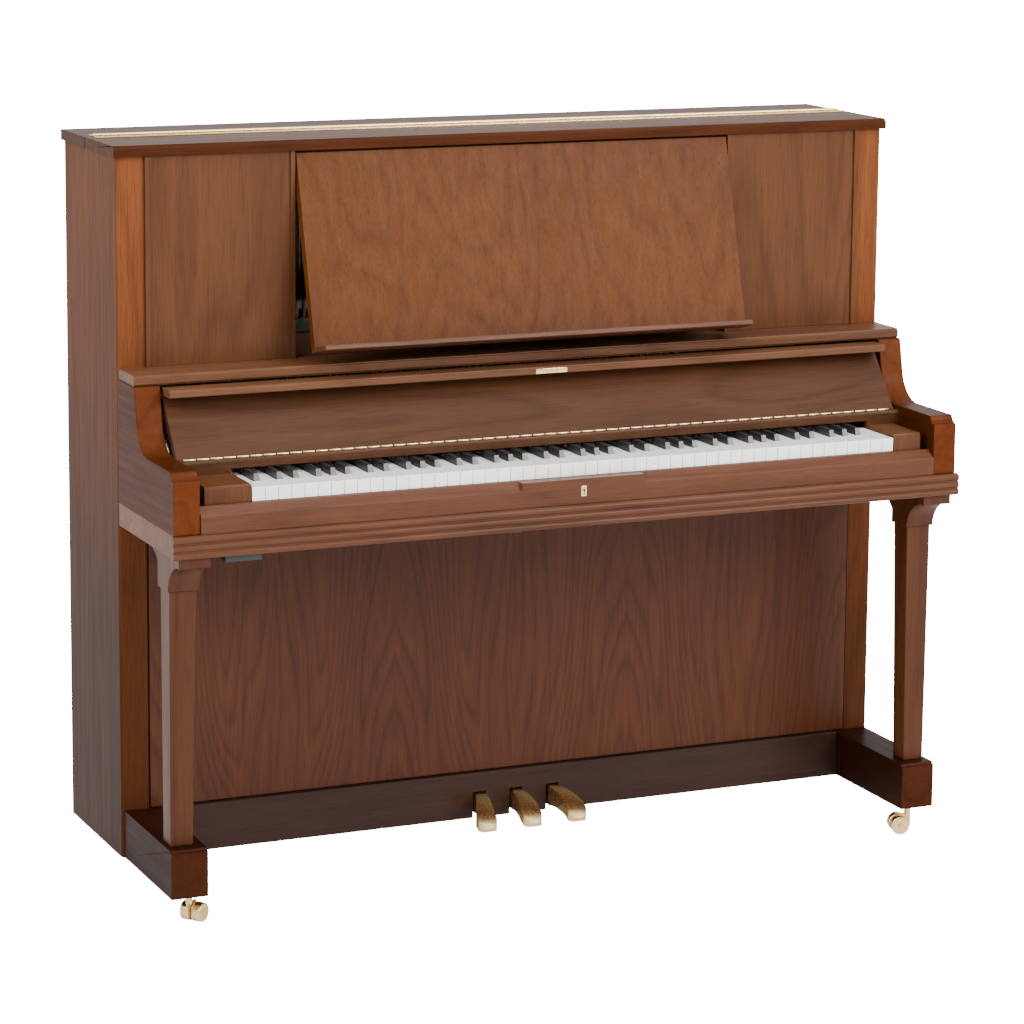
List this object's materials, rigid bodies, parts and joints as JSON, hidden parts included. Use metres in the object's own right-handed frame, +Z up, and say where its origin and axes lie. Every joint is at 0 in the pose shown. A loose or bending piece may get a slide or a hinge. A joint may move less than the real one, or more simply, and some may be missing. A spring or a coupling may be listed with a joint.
{
  "type": "upright piano",
  "caption": "Upright piano with a folding fallboard and lid, a tilting music desk, working keys and pedals, front legs on toe blocks, and twin-wheel casters.",
  "frame": {"origin": "on the floor under the middle of the case's bounding box", "axes": "+X to the player's right, along the keyboard; +Y to the back; +Z up"},
  "size_m": [1.504, 0.618, 1.3155],
  "materials": {
    "walnut_case": "satin lacquer",
    "walnut_panel": "satin lacquer",
    "walnut_dark": "satin lacquer",
    "walnut_red": "satin lacquer",
    "pine": "planed",
    "spruce": "varnished",
    "brass": "polished",
    "iron": "bronze paint",
    "steel": "drawn wire",
    "ivory": "polished",
    "ebony": "satin",
    "felt": "felt"
  },
  "bodies": {
    "case": {"side_panel_left": "walnut_case", "side_panel_right": "walnut_case", "back_frame": "pine", "bottom_board": "pine", "toe_rail": "walnut_dark", "toe_block_left": "walnut_case", "toe_block_right": "walnut_case", "leg_left": "walnut_case", "leg_right": "walnut_case", "key_bed": "walnut_case", "keybed_moulding": "walnut_dark", "key_slip": "walnut_dark", "key_blocks": "walnut_panel", "arm_left": "walnut_case", "arm_right": "walnut_case", "music_shelf": "walnut_case", "upper_panel": "walnut_panel", "lid_rear": "walnut_case", "lid_hinge": "brass", "lower_panel": "walnut_red", "iron_plate": "iron", "soundboard": "spruce", "pin_block": "pine", "strings": "steel", "action_frame": "iron", "key_frame": "pine", "fallboard_base": "walnut_dark"},
    "lid": {"lid_front": "walnut_case"},
    "desk": {"music_desk": "walnut_panel", "music_desk_ledge": "walnut_panel"},
    "fallboard": {"fallboard_panel": "walnut_dark"},
    "lip": {"fallboard_lip": "walnut_case"},
    "left_pedal": {"pedal_left": "brass"},
    "middle_pedal": {"pedal_middle": "brass"},
    "right_pedal": {"pedal_right": "brass"},
    "left_rod": {"pedal_rod_left": "pine"},
    "right_rod": {"pedal_rod_right": "pine"},
    "hammer_set": {"hammers": "felt"},
    "damper_set": {"dampers": "felt"},
    "muffler": {"muffler_rail": "felt"},
    "keys_c": {"key_c": "ivory"},
    "keys_c_sharp": {"key_c_sharp": "ebony"},
    "keys_d": {"key_d": "ivory"},
    "keys_d_sharp": {"key_d_sharp": "ebony"},
    "keys_e": {"key_e": "ivory"},
    "keys_f": {"key_f": "ivory"},
    "keys_f_sharp": {"key_f_sharp": "ebony"},
    "keys_g": {"key_g": "ivory"},
    "keys_g_sharp": {"key_g_sharp": "ebony"},
    "keys_a": {"key_a": "ivory"},
    "keys_a_sharp": {"key_a_sharp": "ebony"},
    "keys_b": {"key_b": "ivory"},
    "fork_front_left": {"caster_fork_front_left": "brass"},
    "wheels_front_left": {"caster_wheels_front_left": "brass"},
    "fork_front_right": {"caster_fork_front_right": "brass"},
    "wheels_front_right": {"caster_wheels_front_right": "brass"},
    "fork_rear_left": {"caster_fork_rear_left": "brass"},
    "wheels_rear_left": {"caster_wheels_rear_left": "brass"},
    "fork_rear_right": {"caster_fork_rear_right": "brass"},
    "wheels_rear_right": {"caster_wheels_rear_right": "brass"}
  },
  "joints": [
    {"name": "lid_fold", "type": "hinge", "parent": "case", "child": "lid", "pos_m": [0, 0.161, 1.313], "axis": [-1, 0, 0], "range_deg": [0, 180]},
    {"name": "desk_swing", "type": "hinge", "parent": "case", "child": "desk", "pos_m": [0, 0.011, 1.28], "axis": [1, 0, 0], "range_deg": [0, 15.5]},
    {"name": "fallboard_fold", "type": "hinge", "parent": "case", "child": "fallboard", "pos_m": [0, -0.16, 0.789], "axis": [1, 0, 0], "range_deg": [0, 128]},
    {"name": "lip_fold", "type": "hinge", "parent": "fallboard", "child": "lip", "pos_m": [0, -0.0812, 0.88987], "axis": [-1, 0, 0], "range_deg": [0, 38]},
    {"name": "press_c", "type": "hinge", "parent": "case", "child": "keys_c", "pos_m": [0, -0.062, 0.734], "axis": [1, 0, 0], "range_deg": [0, 2.6], "stiffness_Nm_per_rad": 2, "springref_deg": -22.92},
    {"name": "press_c_sharp", "type": "hinge", "parent": "case", "child": "keys_c_sharp", "pos_m": [0, -0.062, 0.734], "axis": [1, 0, 0], "range_deg": [0, 2.6], "stiffness_Nm_per_rad": 2, "springref_deg": -22.92},
    {"name": "press_d", "type": "hinge", "parent": "case", "child": "keys_d", "pos_m": [0, -0.062, 0.734], "axis": [1, 0, 0], "range_deg": [0, 2.6], "stiffness_Nm_per_rad": 2, "springref_deg": -22.92},
    {"name": "press_d_sharp", "type": "hinge", "parent": "case", "child": "keys_d_sharp", "pos_m": [0, -0.062, 0.734], "axis": [1, 0, 0], "range_deg": [0, 2.6], "stiffness_Nm_per_rad": 2, "springref_deg": -22.92},
    {"name": "press_e", "type": "hinge", "parent": "case", "child": "keys_e", "pos_m": [0, -0.062, 0.734], "axis": [1, 0, 0], "range_deg": [0, 2.6], "stiffness_Nm_per_rad": 2, "springref_deg": -22.92},
    {"name": "press_f", "type": "hinge", "parent": "case", "child": "keys_f", "pos_m": [0, -0.062, 0.734], "axis": [1, 0, 0], "range_deg": [0, 2.6], "stiffness_Nm_per_rad": 2, "springref_deg": -22.92},
    {"name": "press_f_sharp", "type": "hinge", "parent": "case", "child": "keys_f_sharp", "pos_m": [0, -0.062, 0.734], "axis": [1, 0, 0], "range_deg": [0, 2.6], "stiffness_Nm_per_rad": 2, "springref_deg": -22.92},
    {"name": "press_g", "type": "hinge", "parent": "case", "child": "keys_g", "pos_m": [0, -0.062, 0.734], "axis": [1, 0, 0], "range_deg": [0, 2.6], "stiffness_Nm_per_rad": 2, "springref_deg": -22.92},
    {"name": "press_g_sharp", "type": "hinge", "parent": "case", "child": "keys_g_sharp", "pos_m": [0, -0.062, 0.734], "axis": [1, 0, 0], "range_deg": [0, 2.6], "stiffness_Nm_per_rad": 2, "springref_deg": -22.92},
    {"name": "press_a", "type": "hinge", "parent": "case", "child": "keys_a", "pos_m": [0, -0.062, 0.734], "axis": [1, 0, 0], "range_deg": [0, 2.6], "stiffness_Nm_per_rad": 2, "springref_deg": -22.92},
    {"name": "press_a_sharp", "type": "hinge", "parent": "case", "child": "keys_a_sharp", "pos_m": [0, -0.062, 0.734], "axis": [1, 0, 0], "range_deg": [0, 2.6], "stiffness_Nm_per_rad": 2, "springref_deg": -22.92},
    {"name": "press_b", "type": "hinge", "parent": "case", "child": "keys_b", "pos_m": [0, -0.062, 0.734], "axis": [1, 0, 0], "range_deg": [0, 2.6], "stiffness_Nm_per_rad": 2, "springref_deg": -22.92},
    {"name": "press_left_pedal", "type": "hinge", "parent": "case", "child": "left_pedal", "pos_m": [0, 0.073, 0.094], "axis": [1, 0, 0], "range_deg": [0, 6], "stiffness_Nm_per_rad": 12, "springref_deg": -20.05},
    {"name": "press_middle_pedal", "type": "hinge", "parent": "case", "child": "middle_pedal", "pos_m": [0, 0.073, 0.094], "axis": [1, 0, 0], "range_deg": [0, 6], "stiffness_Nm_per_rad": 12, "springref_deg": -20.05},
    {"name": "press_right_pedal", "type": "hinge", "parent": "case", "child": "right_pedal", "pos_m": [0, 0.073, 0.094], "axis": [1, 0, 0], "range_deg": [0, 6], "stiffness_Nm_per_rad": 12, "springref_deg": -20.05},
    {"name": "lift_left_rod", "type": "slide", "parent": "case", "child": "left_rod", "axis": [0, 0, 1], "range_m": [0, 0.0084]},
    {"name": "lift_right_rod", "type": "slide", "parent": "case", "child": "right_rod", "axis": [0, 0, 1], "range_m": [0, 0.0084]},
    {"name": "hammers_forward", "type": "hinge", "parent": "case", "child": "hammer_set", "pos_m": [0, 0.092, 0.882], "axis": [-1, 0, 0], "range_deg": [0, 3.5]},
    {"name": "dampers_off", "type": "hinge", "parent": "case", "child": "damper_set", "pos_m": [0, 0.135, 0.845], "axis": [1, 0, 0], "range_deg": [0, 5]},
    {"name": "muffler_drop", "type": "slide", "parent": "case", "child": "muffler", "axis": [0, 0, 1], "range_m": [-0.035, 0]},
    {"name": "swivel_front_left", "type": "hinge", "parent": "case", "child": "fork_front_left", "pos_m": [-0.703, -0.235, 0], "axis": [0, 0, 1], "continuous": true},
    {"name": "roll_front_left", "type": "hinge", "parent": "fork_front_left", "child": "wheels_front_left", "pos_m": [-0.68998, -0.22407, 0.017], "axis": [0.6428, -0.766, 0], "continuous": true},
    {"name": "swivel_front_right", "type": "hinge", "parent": "case", "child": "fork_front_right", "pos_m": [0.703, -0.235, 0], "axis": [0, 0, 1], "continuous": true},
    {"name": "roll_front_right", "type": "hinge", "parent": "fork_front_right", "child": "wheels_front_right", "pos_m": [0.68658, -0.2306, 0.017], "axis": [0.2588, 0.9659, 0], "continuous": true},
    {"name": "swivel_rear_left", "type": "hinge", "parent": "case", "child": "fork_rear_left", "pos_m": [-0.64, 0.253, 0], "axis": [0, 0, 1], "continuous": true},
    {"name": "roll_rear_left", "type": "hinge", "parent": "fork_rear_left", "child": "wheels_rear_left", "pos_m": [-0.62698, 0.26393, 0.017], "axis": [0.6428, -0.766, 0], "continuous": true},
    {"name": "swivel_rear_right", "type": "hinge", "parent": "case", "child": "fork_rear_right", "pos_m": [0.64, 0.253, 0], "axis": [0, 0, 1], "continuous": true},
    {"name": "roll_rear_right", "type": "hinge", "parent": "fork_rear_right", "child": "wheels_rear_right", "pos_m": [0.62358, 0.2574, 0.017], "axis": [0.2588, 0.9659, 0], "continuous": true}
  ],
  "couplings": [
    {"joint": "lip_fold", "follows": "fallboard_fold", "ratio": 0.29688},
    {"joint": "lift_left_rod", "follows": "press_left_pedal", "m_per_rad": 0.08},
    {"joint": "lift_right_rod", "follows": "press_right_pedal", "m_per_rad": 0.08},
    {"joint": "hammers_forward", "follows": "press_left_pedal", "ratio": 0.58333},
    {"joint": "dampers_off", "follows": "press_right_pedal", "ratio": 0.83333},
    {"joint": "muffler_drop", "follows": "press_middle_pedal", "m_per_rad": -0.334}
  ]
}
